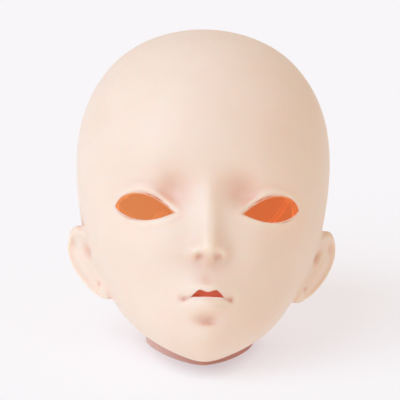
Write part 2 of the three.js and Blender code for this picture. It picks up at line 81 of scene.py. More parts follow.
# Lids: the dome over the eye, the crease above it, and the rolled, rounded edge of the opening
LID_DOME_RISE = 2.4
LID_DOME_HALF_WIDTH = 0.56 * EYE_WIDTH
LID_DOME_HALF_HEIGHT = 1.3 * UPPER_LID_RISE
LID_CREASE_RISE = 2.4
LID_CREASE_DEPTH = 0.22
LID_CREASE_WIDTH = 0.8
LID_CREASE_MIDDLE = 0.08 * EYE_WIDTH
LID_CREASE_REACH = 0.4 * EYE_WIDTH
LID_ROLL_RISE = 0.25
LID_ROLL_BACK = 1.1
LID_ROLL_WIDTH = 0.9
LID_EDGE_DROP = 0.5
LID_EDGE_WIDTH = 0.8
LID_SIDE_BLEND = 0.6

# Nose, with the shares of its base between which it widens
NOSE_TIP_DROP = 19.5
NOSE_TIP_RISE = 5.4
NOSE_LENGTH = 21.0
NOSE_BASE_DROP = 6.2
NOSE_SIDE_WIDTH = 3.0
NOSE_BASE_WIDTH = 1.7
NOSE_HALF_WIDTH = 3.6
NOSE_SIDE_POWER = 2.6
NOSE_WIDENS_FROM = -0.645
NOSE_WIDENS_TO = -0.08

# Mouth, with the bow of its upper edge as shares of the opening
MOUTH_DROP = 31.1
MOUTH_WIDTH = 7.8
MOUTH_OPENING = 1.65
MOUTH_DEPTH = 2.2
BOW_MIDDLE = 0.72
BOW_RISE = 0.42
BOW_FALL = 0.2
MOUTH_LINE_WIDTH = 12.0
MOUTH_LINE_DROP = 0.6
MOUTH_LINE_DEPTH = 0.4
MOUTH_LINE_HALF_HEIGHT = 0.4
MOUTH_POCKET_DEPTHS = (0, 0.2, 0.6, 1.2, MOUTH_DEPTH)

# Ears
EAR_HEIGHT = 22.0
EAR_REACH = 6.4
EAR_ROOT = 6.0
EAR_NARROWING = 0.28
EAR_THICKNESS = 2.6
EAR_OUTLINE_POWER = 0.75
EAR_EDGE_POWER = 0.6
EAR_RIM_RISE = 0.6
EAR_RIM_AT = 0.86
EAR_RIM_WIDTH = 0.09
EAR_SINK = 4.4
EAR_BACK = -3.5
EAR_DROP = 19.9
EAR_FLARE = math.radians(34)
EAR_SPLAY = math.radians(29)
EAR_LEAN = math.radians(18)
EAR_ROOT_BLEND = 3.5
EAR_ROOT_PASSES = 60
EAR_ROOT_STEP = 0.5

# Neck socket and its egg-shaped collar
NECK_RIM_RADIUS = 14.0
NECK_RIM_FRONT = 20.0
NECK_RIM_BACK = 14.0
NECK_FRONT_POWER = 1.5
NECK_BACK_POWER = 2
NECK_FORWARD = 9.3
COLLAR_HEIGHT = 17.0
COLLAR_WAIST = 0.6
SOCKET_MOUTH_RADIUS = 10.6
SOCKET_DEPTH = 6.0
NECK_HOLE_RADIUS = 6.0

# Parting between face and cap; the ledge step keeps the cap's inner ledge in the inside wall's finish
PARTING_BACK = 26.5
PARTING_LEAN = math.radians(30)
PARTING_GAP = 0.3
TONGUE_LENGTH = 1.6
TONGUE_THICKNESS = 1.5
TONGUE_CLEARANCE = 0.3
LEDGE_STEP = 0.01

# Magnets, with their bearings round the parting face
MAGNET_RADIUS = 2.5
MAGNET_THICKNESS = 2.0
MAGNET_CLEARANCE = 0.15
MAGNET_BEARINGS = np.radians([45, 135, 250, 290])
BOSS_WALL = 1.3
BOSS_LENGTH = 6.0

# Steps of the grids at full fineness
FINE = 1.0
BEARING_STEPS = 300
CROWN_STEPS = 90
CHEEK_STEPS = 64
CHIN_STEPS = 60
INNER_ROWS = 90
INNER_COLUMNS = 120
EAR_TURNS = 160
EAR_ROLLS = 80
PARTING_STEPS = 240

# How far the lids, the lips and the eyes' slant draw the rows of the grid with them
LID_PULL = 6.0
LIP_PULL = 3.0
SLANT_PULL = 12.0
SLANT_HALF_WIDTH = 9.0

# Working limits: a cut's overrun, the gap from which rows count as apart, points to weld, slivers to drop,
# the least radius to divide by, halvings of a search, and the angle from which an edge is shaded sharp
PAST = 1.0
APART = 0.05
WELD = 2e-3
SLIVER = 1e-4
LEAST_RADIUS = 1e-3
HALVINGS = 40
SHARP_EDGE = math.radians(50)

MM = 0.001
MIDDLE = (CROWN_RISE - CHIN_DROP) / 2
HALF_HEIGHT = (CROWN_RISE + CHIN_DROP) / 2
FAR = 2 * (CROWN_RISE + CHIN_DROP)
EYE_X = EYE_SPACING / 2
EYE_Z = -EYE_DROP
TIP_Z = -NOSE_TIP_DROP
MOUTH_Z = -MOUTH_DROP
MOUTH_TO_CHIN = CHIN_DROP - MOUTH_DROP


def smooth(low, high, value):
    """0 up to low, 1 from high on and an easy S between; with low above high it falls instead."""
    s = np.clip((value - low) / (high - low), 0, 1)
    return s * s * (3 - 2 * s)


def swell(across, up, wide, tall):
    """Soft round hill: e to the minus of both distances over their half widths, squared."""
    return np.exp(-((across / wide) ** 2) - (up / tall) ** 2)


def soft_line(across, wide):
    """Soft ridge along a line: the swell of a distance from it."""
    return swell(across, 0, wide, 1)


def natural_cubic(points):
    """Curve through points of (place, value) whose slope and bend run on from piece to piece."""
    places, values = np.array(points, float).T
    gaps = np.diff(places)
    system = np.eye(len(places))
    wanted = np.zeros(len(places))
    inner = np.arange(1, len(places) - 1)
    system[inner, inner - 1] = gaps[:-1]
    system[inner, inner] = 2 * (gaps[:-1] + gaps[1:])
    system[inner, inner + 1] = gaps[1:]
    wanted[1:-1] = 6 * np.diff(np.diff(values) / gaps)
    bend = np.linalg.solve(system, wanted)

    def curve(at):
        i = np.clip(np.searchsorted(places, at) - 1, 0, len(gaps) - 1)
        left = places[i + 1] - at
        right = at - places[i]
        gap = gaps[i]
        curved = (bend[i] * left**3 + bend[i + 1] * right**3) / (6 * gap)
        start = (values[i] / gap - bend[i] * gap / 6) * left
        end = (values[i + 1] / gap - bend[i + 1] * gap / 6) * right
        return curved + start + end

    return curve


def pole_angle(z):
    """Angle from the crown pole (0) to the chin pole (pi) of a height in the head."""
    return np.arccos(np.clip((np.asarray(z, float) - MIDDLE) / HALF_HEIGHT, -1, 1))


def driving_curve(points):
    """Curve over the pole angle through (height share, value) points.
    A share is of the crown's rise above the middle of the skull, or of the chin's drop below it."""
    heights = [share * (CROWN_RISE if share > 0 else CHIN_DROP) for share, _ in points]
    return natural_cubic([(pole_angle(z), value) for z, (_, value) in zip(heights, points)])


# Level sections of the head: half width, reach to the face and to the back as shares of the skull's,
# how far back their middle lies, and the power of their rounded ellipse
width_share = driving_curve([
    (1, 0), (0.95, 0.385), (0.84, 0.646), (0.73, 0.786), (0.58, 0.905), (0.43, 0.972), (0.24, 1.005),
    (0.05, 1), (-0.19, 0.955), (-0.37, 0.888), (-0.51, 0.796), (-0.67, 0.666), (-0.74, 0.596),
    (-0.81, 0.508), (-0.87, 0.407), (-0.93, 0.274), (-0.972, 0.152), (-1, 0),
])
face_share = driving_curve([
    (1, 0), (0.917, 0.43), (0.786, 0.698), (0.62, 0.861), (0.43, 0.954), (0.21, 1), (0, 0.998),
    (-0.19, 0.97), (-0.37, 0.912), (-0.56, 0.802), (-0.72, 0.644), (-0.84, 0.463), (-0.92, 0.3),
    (-0.972, 0.144), (-1, 0),
])
back_share = driving_curve([
    (1, 0), (0.917, 0.446), (0.786, 0.685), (0.62, 0.84), (0.43, 0.952), (0.21, 1), (0, 0.98),
    (-0.19, 0.9), (-0.37, 0.79), (-0.51, 0.69), (-0.62, 0.6), (-0.72, 0.49), (-0.81, 0.36),
    (-0.88, 0.23), (-0.94, 0.135), (-0.977, 0.062), (-1, 0),
])
section_centre = driving_curve([
    (1, CROWN_BACK), (0.7, CROWN_BACK + 2), (0.24, CROWN_BACK + 2), (-0.23, CROWN_BACK + 1),
    (-0.47, CROWN_BACK - 2), (-0.67, -0.26 * CHIN_FORWARD), (-0.84, -0.61 * CHIN_FORWARD),
    (-1, -CHIN_FORWARD),
])
squareness = driving_curve([(1, 2), (0.48, 2.1), (0, 2.25), (-0.35, 2.3), (-0.7, 2.1), (-1, 2)])

# Rise of the nose ridge as a share of the tip's, from the lip up past the tip to the brow
NOSE_SHARES = (
    (-1, 0), (-0.742, 0.08), (-0.5, 0.36), (-0.242, 0.82), (0, 1),
    (0.076, 0.92), (0.238, 0.59), (0.476, 0.36), (0.762, 0.16), (1, 0),
)
NOSE_FOOT = TIP_Z - NOSE_BASE_DROP
NOSE_TOP = TIP_Z + NOSE_LENGTH


def nose_height(share):
    """Height of a share of the nose: below the tip of its base, above the tip of its length."""
    return TIP_Z + share * (NOSE_BASE_DROP if share < 0 else NOSE_LENGTH)


nose_ridge = natural_cubic([(nose_height(share), rise * NOSE_TIP_RISE) for share, rise in NOSE_SHARES])

# Soft forms of the face, the same on both sides: place across and up, half width, half height and rise
FACE_FORMS = {
    "eye hollow": (EYE_X, EYE_Z + 1.5, 0.77 * EYE_WIDTH, 0.455 * EYE_WIDTH, -3),
    "inner brow hollow": (0.54 * EYE_X, EYE_Z + 4.6, 0.27 * EYE_X, 0.35 * EYE_WIDTH, -2.6),
    "root of the nose": (0, EYE_Z + 5.4, 6, 5, -1.3),
    "nose wing": (NOSE_HALF_WIDTH, TIP_Z - 1, 1.4, 1.8, 1.3),
    "nostril": (0.58 * NOSE_HALF_WIDTH, TIP_Z - 1.9, 1.1, 0.8, -1.1),
    "muzzle": (0, MOUTH_Z + 1, 9, 6.5, 1.4),
    "upper lip": (0, MOUTH_Z + 2.2, 4.2, 1.6, 0.9),
    "lower lip": (0, MOUTH_Z - 2.2, 4.0, 1.9, 1.2),
    "mouth corner": (MOUTH_LINE_WIDTH / 2, MOUTH_Z - 0.5, 1.2, 1, -0.65),
    "lip groove": (0, MOUTH_Z + 4, 1.2, 1.8, -0.2),
    "chin dent": (0, MOUTH_Z - 0.37 * MOUTH_TO_CHIN, 3, 1.2, -1.3),
    "chin": (0, MOUTH_Z - 0.77 * MOUTH_TO_CHIN, 0.44 * MOUTH_TO_CHIN, 0.27 * MOUTH_TO_CHIN, 1.2),
    "cheek": (0.395 * SKULL_HALF_WIDTH, TIP_Z + 1, 7.5, 7.5, 1.3),
}

# Forms on the front of the ear: place outward and up from its middle, half width, half height and rise.
# The hollows are pressed in after the ear's root has been smoothed, so that they stay crisp.
EAR_FORMS = {
    "inner fold": (1.8, 0.5, 1.2, 4.4, 0.3),
    "upper hollow": (1.4, 7.6, 1.5, 1.6, -0.5),
    "front flap": (-4.4, -1.6, 1.5, 1.8, 1.0),
    "lobe": (-1.4, -8.8, 2.4, 1.8, 0.5),
}
EAR_HOLLOWS = {
    "shell hollow": (-2.2, 2.4, 1.2, 2.3, -0.95),
    "notch": (0.0, -6.3, 0.8, 0.8, -0.45),
}


def sum_of(forms, across, up):
    """Sum of the swells of some forms, each times its rise."""
    return sum(rise * swell(across - a, up - u, wide, tall) for a, u, wide, tall, rise in forms.values())


def lid_curve(height, inner, outer):
    """Lid edge over its corner line: height times (1 + u)^inner times (1 - u)^outer, over the greatest
    value of that, with u from -1 at the inner corner to 1 at the outer one."""
    peak = (inner - outer) / (inner + outer)
    most = (1 + peak) ** inner * (1 - peak) ** outer

    def edge(u):
        u = np.clip(u, -1, 1)
        return height * (1 + u) ** inner * (1 - u) ** outer / most

    return edge


upper_lid = lid_curve(UPPER_LID_RISE, 0.95, 0.62)
lower_lid = lid_curve(LOWER_LID_DROP, 1, 0.74)


def eye_outline(steps=160):
    """Closed almond of one eye on the face as (across, height) points: out along the upper lid and back
    along the lower one, the corner line turned up by the eye's slant."""
    u = -np.cos(np.linspace(0, np.pi, steps))
    along = np.concatenate([u, u[-2:0:-1]]) * EYE_WIDTH / 2
    up = np.concatenate([upper_lid(u), -lower_lid(u[-2:0:-1])])
    across = along * math.cos(EYE_SLANT) - up * math.sin(EYE_SLANT)
    rise = up * math.cos(EYE_SLANT) + along * math.sin(EYE_SLANT)
    return np.stack([EYE_X + across, EYE_Z + rise], -1)


EYE_OUTLINE = eye_outline()


def lid_distance(across, z):
    """Distance on the face from a place to the edge of the eye opening on its side."""
    shape = np.shape(across)
    points = np.stack([np.ravel(across), np.ravel(z)], -1)
    near = np.full(len(points), FAR)
    close = (np.abs(points[:, 0] - EYE_X) < EYE_WIDTH) & (np.abs(points[:, 1] - EYE_Z) < EYE_WIDTH)
    gaps = points[close][:, None, :] - EYE_OUTLINE[None, :, :]
    near[close] = np.sqrt((gaps**2).sum(-1).min(1))
    return near.reshape(shape)


def relief(x, z):
    """How far the face stands forward of the plain head: the sum of its soft forms, the dome, crease and
    edge of the lids and the nose ridge, less the line that the mouth draws to its corners."""
    side = np.abs(x)
    forward = sum_of(FACE_FORMS, side, z)

    across = side - EYE_X
    over = z - EYE_Z
    along = across * math.cos(EYE_SLANT) + over * math.sin(EYE_SLANT)
    up = over * math.cos(EYE_SLANT) - across * math.sin(EYE_SLANT)
    edge = lid_distance(side, z)
    above = smooth(-LID_SIDE_BLEND, LID_SIDE_BLEND, up)
    span = np.exp(-(((along - LID_CREASE_MIDDLE) / LID_CREASE_REACH) ** 4))
    forward += LID_DOME_RISE * swell(along, up, LID_DOME_HALF_WIDTH, LID_DOME_HALF_HEIGHT)
    forward -= LID_CREASE_DEPTH * soft_line(edge - LID_CREASE_RISE, LID_CREASE_WIDTH) * above * span
    forward += LID_ROLL_RISE * soft_line(edge - LID_ROLL_BACK, LID_ROLL_WIDTH)
    forward -= LID_EDGE_DROP * np.clip(1 - edge / LID_EDGE_WIDTH, 0, 1) ** 2

    ridge = np.where((z < NOSE_TOP) & (z > NOSE_FOOT), nose_ridge(z), 0)
    widening = smooth(nose_height(NOSE_WIDENS_FROM), nose_height(NOSE_WIDENS_TO), z)
    foot = NOSE_BASE_WIDTH + (NOSE_SIDE_WIDTH - NOSE_BASE_WIDTH) * widening
    forward += ridge / (1 + (side / foot) ** NOSE_SIDE_POWER)

    # The line runs from just inside the opening's end (0) to just past the mouth's corner (1)
    past = (side - MOUTH_WIDTH / 2) / (MOUTH_LINE_WIDTH / 2 - MOUTH_WIDTH / 2)
    line = MOUTH_LINE_DEPTH * smooth(-0.4, 0.1, past) * smooth(1.2, 0.8, past)
    forward -= line * soft_line(z - MOUTH_Z + MOUTH_LINE_DROP * past, MOUTH_LINE_HALF_HEIGHT)
    return forward


def section_radius(angle, bearing):
    """Distance from a level section's centre to the head: a rounded ellipse in polar form, which is
    (|cos| / reach)^power + (|sin| / half width)^power, all to the power -1 / power; nothing at the poles."""
    wide = np.maximum(LEAST_RADIUS, SKULL_HALF_WIDTH * width_share(angle))
    ahead = np.cos(bearing) > 0
    ends = np.where(ahead, FACE_REACH * face_share(angle), BACK_REACH * back_share(angle))
    reach = np.maximum(LEAST_RADIUS, ends)
    power = squareness(angle)
    off_pole = np.sin(angle) > 1e-9
    lengthwise = (np.abs(np.cos(bearing)) / reach) ** power
    sideways = (np.abs(np.sin(bearing)) / wide) ** power
    return off_pole * (lengthwise + sideways) ** (-1 / power)


def ahead_share(bearing):
    """1 on the face and 0 from the ears back, with an easy change between."""
    return smooth(0.1, 0.5, np.cos(bearing))


def mouth_edge(x):
    """Upper edge of the parted lips: a bow with two peaks that comes down to nothing at the ends."""
    s = np.clip(np.abs(x) / (MOUTH_WIDTH / 2), 0, 1)
    bow = BOW_MIDDLE + BOW_RISE * smooth(0, 0.6, s) - BOW_FALL * smooth(0.5, 0.8, s)
    return MOUTH_OPENING * (1 - s**4) * bow


def outer_points(angle, bearing, eye_side, mouth_side):
    """Points of the head's outside. Rows near an opening are pushed up or down to follow its edge:
    height plus the edge's own height, dying away with distance from the opening's line."""
    radius = section_radius(angle, bearing)
    x = radius * np.sin(bearing)
    z = MIDDLE + HALF_HEIGHT * np.cos(angle)
    ahead = ahead_share(bearing)
    from_eye = z - EYE_Z
    slant = math.tan(EYE_SLANT) * np.clip(np.abs(x) - EYE_X, -SLANT_HALF_WIDTH, SLANT_HALF_WIDTH)
    u = (np.abs(x) - EYE_X) / (EYE_WIDTH / 2 * math.cos(EYE_SLANT))
    lids = np.where(eye_side > 0, upper_lid(u), -lower_lid(u)) * np.exp(-np.abs(from_eye) / LID_PULL)
    from_mouth = z - MOUTH_Z
    lips = np.where(mouth_side > 0, mouth_edge(x), 0) * np.exp(-np.abs(from_mouth) / LIP_PULL)
    moved = slant * np.exp(-((from_eye / SLANT_PULL) ** 2)) + lids + lips
    z = z + ahead * moved * smooth(0, 0.2, np.sin(angle))
    angle = pole_angle(z)
    radius = section_radius(angle, bearing)
    x = radius * np.sin(bearing)
    y = section_centre(angle) - radius * np.cos(bearing) - ahead * relief(x, z)
    return np.stack([x, y, z], -1)


def face_depth(x, z):
    """Depth of the face in front of the skull's middle at a place; its bearing is found by halving."""
    angle = pole_angle(z)
    low = 0.0
    high = np.pi / 2
    for _ in range(HALVINGS):
        bearing = (low + high) / 2
        if section_radius(angle, bearing) * np.sin(bearing) < abs(x):
            low = bearing
        else:
            high = bearing
    plain = section_radius(angle, low) * np.cos(low) - section_centre(angle)
    return float(plain + relief(np.array(x), np.array(z)))


def spread(count, start, end, weight, samples=2001):
    """count + 1 values from start to end, closer together where the weight is greater."""
    fine = np.linspace(start, end, samples)
    sums = np.concatenate([[0], np.cumsum(weight((fine[1:] + fine[:-1]) / 2))])
    return np.interp(np.linspace(0, sums[-1], count + 1), sums, fine)


def closer_near(place, more, within):
    """Weight for a spread: 1, and more by so much close to a place."""
    return lambda at: 1 + more * soft_line(at - place, within)


def grid_faces(rows, columns, first=0):
    """Quads of a grid whose columns close into rings."""
    i, j = np.meshgrid(np.arange(rows - 1), np.arange(columns), indexing="ij")
    k = (j + 1) % columns
    corners = [i * columns + j, (i + 1) * columns + j, (i + 1) * columns + k, i * columns + k]
    return first + np.stack(corners, -1).reshape(-1, 4)


def pocket(upper, lower, depths):
    """Rings from an opening's edge loop straight back into the head, the last one drawn to a point."""
    loop = np.concatenate([upper, lower[-2:0:-1]])
    rings = [loop + np.array([0, d, 0]) for d in depths]
    rings.append(np.broadcast_to(rings[-1].mean(0), loop.shape))
    return np.array(rings)


def outer_patches():
    """Patches of the head's outside: crown to eye line, eye line to mouth line, mouth line to chin,
    then a pocket for each eye and for the mouth. Each is (rows, columns, 3) with closed columns."""
    bearings = spread(int(BEARING_STEPS * FINE), -np.pi, np.pi, closer_near(0, 3.2, 0.75))[:-1]
    eye_line = pole_angle(EYE_Z)
    mouth_line = pole_angle(MOUTH_Z)
    top = spread(int(CROWN_STEPS * FINE), 0, eye_line, closer_near(eye_line, 4, 0.3))
    mid = spread(int(CHEEK_STEPS * FINE), eye_line, mouth_line, closer_near(eye_line, 1, 0.12))
    low = spread(int(CHIN_STEPS * FINE), mouth_line, np.pi, closer_near(mouth_line, 2, 0.3))
    patches = [
        outer_points(top[:, None], bearings[None], 1, 1),
        outer_points(mid[:, None], bearings[None], -1, 1),
        outer_points(low[:, None], bearings[None], -1, -1),
    ]
    openings = ((0, (1, -1), EYE_POCKET_DEPTHS), (1, (0,), MOUTH_POCKET_DEPTHS))
    for row, sides, depths in openings:
        over = patches[row][-1]
        under = patches[row + 1][0]
        apart = np.abs(over - under).sum(-1) > APART
        under[~apart] = over[~apart]
        for side in sides:
            span = np.flatnonzero(apart & (side * bearings >= 0))
            span = np.arange(span[0] - 1, span[-1] + 2)
            patches.append(pocket(over[span], under[span], depths))
    return patches


def inner_patch():
    """The plain head drawn in by the wall, and by more behind the face, where its hollows need it."""
    angle = np.linspace(0, np.pi, int(INNER_ROWS * FINE))[:, None]
    bearing = np.linspace(-np.pi, np.pi, int(INNER_COLUMNS * FINE), endpoint=False)[None]
    inset = WALL + ahead_share(bearing) * (FACE_WALL - WALL)
    radius = np.maximum(0, section_radius(angle, bearing) - inset * np.sin(angle))
    z = MIDDLE + (HALF_HEIGHT - WALL) * np.cos(angle) + 0 * bearing
    return np.stack([radius * np.sin(bearing), section_centre(angle) - radius * np.cos(bearing), z], -1)


def ear_axes():
    """Directions out, up and forward from the ear's plate, and its middle."""
    upward = np.array([math.tan(EAR_SPLAY), math.tan(EAR_LEAN), 1])
    upward /= np.linalg.norm(upward)
    flare = np.array([math.sin(EAR_FLARE), math.cos(EAR_FLARE), 0])
    outward = flare - (flare @ upward) * upward
    outward /= np.linalg.norm(outward)
    centre = np.array([SKULL_HALF_WIDTH - EAR_SINK, EAR_BACK, -EAR_DROP])
    return outward, upward, np.cross(outward, upward), centre


def ear_patch(side):
    """Plate on an egg-shaped outline, rounded over its edge: rings go by a half circle from the middle of
    the front, over the edge, to the middle of the back. A rim and soft forms stand on the front."""
    outward, upward, facing, centre = ear_axes()
    turn = np.linspace(0, 2 * np.pi, int(EAR_TURNS * FINE), endpoint=False)[None]
    roll = np.linspace(0, np.pi, int(EAR_ROLLS * FINE))[:, None]
    share = np.sin(roll) ** EAR_OUTLINE_POWER
    share[[0, -1]] = 0
    half = np.where(np.cos(turn) > 0, EAR_REACH, EAR_ROOT)
    up = share * np.sin(turn) * EAR_HEIGHT / 2
    out = share * np.cos(turn) * half * (1 + EAR_NARROWING * np.sin(turn))
    thick = np.sign(np.cos(roll)) * np.abs(np.cos(roll)) ** EAR_EDGE_POWER * EAR_THICKNESS / 2
    front = smooth(0.05, 0.5, np.cos(roll))
    over_lobe = smooth(-0.75, -0.1, np.sin(turn) + 0.5 * np.cos(turn))
    rim = EAR_RIM_RISE * soft_line(share - EAR_RIM_AT, EAR_RIM_WIDTH) * over_lobe
    depth = thick + front * (sum_of(EAR_FORMS, out, up) + rim) + 0 * turn
    points = centre + out[..., None] * outward + up[..., None] * upward + depth[..., None] * facing
    return points * np.array([side, 1, 1])


def lathe_patch(profile, turns=96):
    """Profile of (radius, height) points turned about the height."""
    turn = np.linspace(0, 2 * np.pi, turns, endpoint=False)
    radius, height = np.array(profile, float).T
    x = radius[:, None] * np.cos(turn)
    y = radius[:, None] * np.sin(turn)
    return np.stack([x, y, np.broadcast_to(height[:, None], x.shape)], -1)


def collar_patch():
    """Collar profile turned about the height and drawn out to the rim's egg: a soft V in front and round
    behind. The egg is a rounded ellipse in polar form, with a power of its own in front and behind."""
    made = lathe_patch(COLLAR)
    direction = np.arctan2(made[1, :, 1], made[1, :, 0])
    ahead = np.sin(direction) < 0
    power = np.where(ahead, NECK_FRONT_POWER, NECK_BACK_POWER)
    across = (np.abs(np.cos(direction)) / NECK_RIM_RADIUS) ** power
    along = (np.abs(np.sin(direction)) / np.where(ahead, NECK_RIM_FRONT, NECK_RIM_BACK)) ** power
    share = (across + along) ** (-1 / power) / NECK_RIM_RADIUS
    made[..., :2] *= share[None, :, None]
    return made


def ball_patch(radius, centre, rows=48):
    """Ball as a half circle turned about the height."""
    angle = np.linspace(0, np.pi, rows)
    ring = radius * np.sin(angle)
    ring[[0, -1]] = 0
    return lathe_patch(np.stack([ring, radius * np.cos(angle)], -1)) + np.asarray(centre, float)


def prism_patch(middle, outline, start, end):
    """Outline of (across, up) points carried along y from start to end, closed by fans from its middle."""
    hub = np.broadcast_to(np.asarray(middle, float), outline.shape)
    rings = [(hub, start), (outline, start), (outline, end), (hub, end)]
    rows = [np.column_stack([ring[:, 0], np.full(len(ring), at), ring[:, 1]]) for ring, at in rings]
    return np.array(rows)


def turned(patch, matrix):
    """Points of a patch taken through a matrix."""
    m = np.array(matrix)
    return patch @ m[:3, :3].T + m[:3, 3]


def linear(code):
    """sRGB hex colour as linear red, green, blue and 1."""
    channels = [int(code[i : i + 2], 16) / 255 for i in (1, 3, 5)]
    return tuple(c / 12.92 if c <= 0.04045 else ((c + 0.055) / 1.055) ** 2.4 for c in channels) + (1.0,)


def add(tree, kind, inputs=(), **settings):
    """Node of a kind with its settings, its inputs set to values or joined to other nodes' outputs."""
    made = tree.nodes.new(kind)
    for name, value in settings.items():
        setattr(made, name, value)
    for name, value in dict(inputs).items():
        if isinstance(value, bpy.types.NodeSocket):
            tree.links.new(value, made.inputs[name])
        else:
            made.inputs[name].default_value = value
    return made


def material(name):
    """New material with an empty node tree and its object coordinates."""
    made = bpy.data.materials.new(name)
    made.use_nodes = True
    tree = made.node_tree
    tree.nodes.clear()
    place = add(tree, "ShaderNodeTexCoord").outputs["Object"]
    return made, tree, place


def per(size):
    """Texture scale of a pattern whose features are a size in millimetres."""
    return 1 / (size * MM)


# Colour sockets of a mix node, which go by number because their names repeat
SHARE = 0
FIRST = 6
SECOND = 7
COLOUR = 2

# Resin patterns in millimetres; real sanding is finer than this grain, which is as coarse as it needs
# to be to show
CLOUD_SIZE = 9.0
SATIN_SIZE = 1.6
GRAIN_SIZE = 0.35
GRAIN_DEPTH = 0.012

# Painted shade: hollows narrower than this are painted a deeper, redder colour, from where they are nearly
# open to where they are closed in
HOLLOW_SHADE_SIZE = 8.0
HOLLOW_SHADE_OPEN = 0.95
HOLLOW_SHADE_SHUT = 0.45

# Painted shade on the foot of the neck rim: redder and darker there, and more so away from the window
RIM_SHADE_TOP = 4.5
RIM_SHADE_FULL = 0.3 * RIM_SHADE_TOP
RIM_SHADE_NEAR = "#deb4a6"
RIM_SHADE_FAR = "#be7c6c"

# Daylight through the wall: full where walls within the head's size leave a fifth of the room open or
# less, and gone where they leave three fifths
HEAD_SIZE = 100.0
GLOW_SHUT = 0.2
GLOW_OPEN = 0.6
GLOW_NEAR = "#ffbc7a"
GLOW_FAR = "#ed8e58"

# How deep light goes into the resin, and the shares of that for red, green and blue
RESIN_DEPTH = 3.0
RESIN_DEPTH_SHARES = (1.0, 0.6, 0.45)


def resin_tone(tree, place, height, painted_shade_side, colours):
    """Colour of the resin: pale and warm clouds, and painted shade: the deep colour in hollows and a redder,
    darker foot of the rim.
    """
    pale, warm, deep = [linear(code) for code in colours]
    cloud = add(tree, "ShaderNodeTexNoise", {"Vector": place, "Scale": per(CLOUD_SIZE), "Detail": 3.0})
    clouded = add(tree, "ShaderNodeMix", {
        SHARE: cloud.outputs["Fac"], FIRST: pale, SECOND: warm,
    }, data_type="RGBA")
    # Painted shade: the closer the head's own walls come round a point, the more of the deep colour it takes
    reach = add(tree, "ShaderNodeAmbientOcclusion", {
        "Distance": HOLLOW_SHADE_SIZE * MM,
    }, samples=8, only_local=True)
    close = add(tree, "ShaderNodeMapRange", {
        "Value": reach.outputs["AO"], "From Min": HOLLOW_SHADE_OPEN, "From Max": HOLLOW_SHADE_SHUT,
    })
    with_hollow_shade = add(tree, "ShaderNodeMix", {
        SHARE: close.outputs["Result"], FIRST: clouded.outputs[COLOUR], SECOND: deep,
    }, data_type="RGBA")
    # Painted shade: the foot of the neck rim takes a redder, darker colour, most on the side away from the
    # window
    rim = add(tree, "ShaderNodeMix", {
        SHARE: painted_shade_side, FIRST: linear(RIM_SHADE_NEAR), SECOND: linear(RIM_SHADE_FAR),
    }, data_type="RGBA")
    low = add(tree, "ShaderNodeMapRange", {
        "Value": height, "From Min": RIM_SHADE_TOP * MM, "From Max": RIM_SHADE_FULL * MM,
    })
    with_rim_shade = add(tree, "ShaderNodeMix", {
        SHARE: low.outputs["Result"], FIRST: with_hollow_shade.outputs[COLOUR], SECOND: rim.outputs[COLOUR],
    }, data_type="RGBA")
    return with_rim_shade.outputs[COLOUR]


def resin_glow(tree, painted_shade_side, strength):
    """Emission inputs for daylight through the wall: full where the head is shut, none where it is open,
    yellower on the window's side."""
    room = add(tree, "ShaderNodeAmbientOcclusion", {"Distance": HEAD_SIZE * MM}, samples=16)
    shut = add(tree, "ShaderNodeMapRange", {
        "Value": room.outputs["AO"], "From Min": GLOW_SHUT, "From Max": GLOW_OPEN,
        "To Min": strength, "To Max": 0.0,
    })
    light = add(tree, "ShaderNodeMix", {
        SHARE: painted_shade_side, FIRST: linear(GLOW_NEAR), SECOND: linear(GLOW_FAR),
    }, data_type="RGBA")
    return {"Emission Color": light.outputs[COLOUR], "Emission Strength": shut.outputs["Result"]}


def cast_resin(name, colours, glow):
    """Cast polyurethane resin, sanded satin. Light goes a little way in, red furthest, so edges look soft
    and hollows red; the hollows and the foot of the rim are also painted redder as shade, and a glow can be
    painted on. The colour clouds faintly, the polish changes over a millimetre or two, and there is a fine
    sanded grain."""
    made, tree, place = material(name)
    parts = add(tree, "ShaderNodeSeparateXYZ", {"Vector": place})
    # Share from the window's side of the head to the far side, by which shade and glow are painted redder
    # away from the window
    painted_shade_side = add(tree, "ShaderNodeMapRange", {
        "Value": parts.outputs["X"], "From Min": -EYE_X * MM, "From Max": EYE_X * MM,
    }).outputs["Result"]
    satin = add(tree, "ShaderNodeTexNoise", {"Vector": place, "Scale": per(SATIN_SIZE), "Detail": 2.0})
    rough = add(tree, "ShaderNodeMapRange", {"Value": satin.outputs["Fac"], "To Min": 0.4, "To Max": 0.52})
    grain = add(tree, "ShaderNodeTexNoise", {"Vector": place, "Scale": per(GRAIN_SIZE), "Detail": 2.0})
    bump = add(tree, "ShaderNodeBump", {
        "Height": grain.outputs["Fac"], "Distance": GRAIN_DEPTH * MM, "Strength": 0.5,
    })
    inputs = {
        "Base Color": resin_tone(tree, place, parts.outputs["Z"], painted_shade_side, colours),
        "Roughness": rough.outputs["Result"],
        "Normal": bump.outputs["Normal"],
        "IOR": 1.48,
        "Subsurface Weight": 0.8,
        "Subsurface Radius": RESIN_DEPTH_SHARES,
        "Subsurface Scale": RESIN_DEPTH * MM,
    }
    if glow:
        inputs.update(resin_glow(tree, painted_shade_side, glow))
    shader = add(tree, "ShaderNodeBsdfPrincipled", inputs)
    add(tree, "ShaderNodeOutputMaterial", {"Surface": shader.outputs["BSDF"]})
    return made


# Resin finishes with their pale and warm colours, the deep colour of their painted hollow shade and their
# painted glow, and the slots that they take. The inside wall's orange and the mouth's red are painted light:
# the glow and shade of light through the resin, not colours of its own
FINISHES = (
    cast_resin("cast polyurethane resin, satin, with painted shade", ("#f3e0cc", "#f0d7c1", "#d87848"), 0),
    cast_resin("cast polyurethane resin, inside wall, painted glow", ("#c8875c", "#c08056", "#c8875c"), 0.39),
    cast_resin("cast polyurethane resin, mouth, painted red shade", ("#f09c84", "#ea927a", "#f09c84"), 0.05),
)
OUTSIDE = 0
INSIDE = 1
MOUTH = 2

# Dull patches of the plating, in millimetres
PLATE_PATCH_SIZE = 1.2


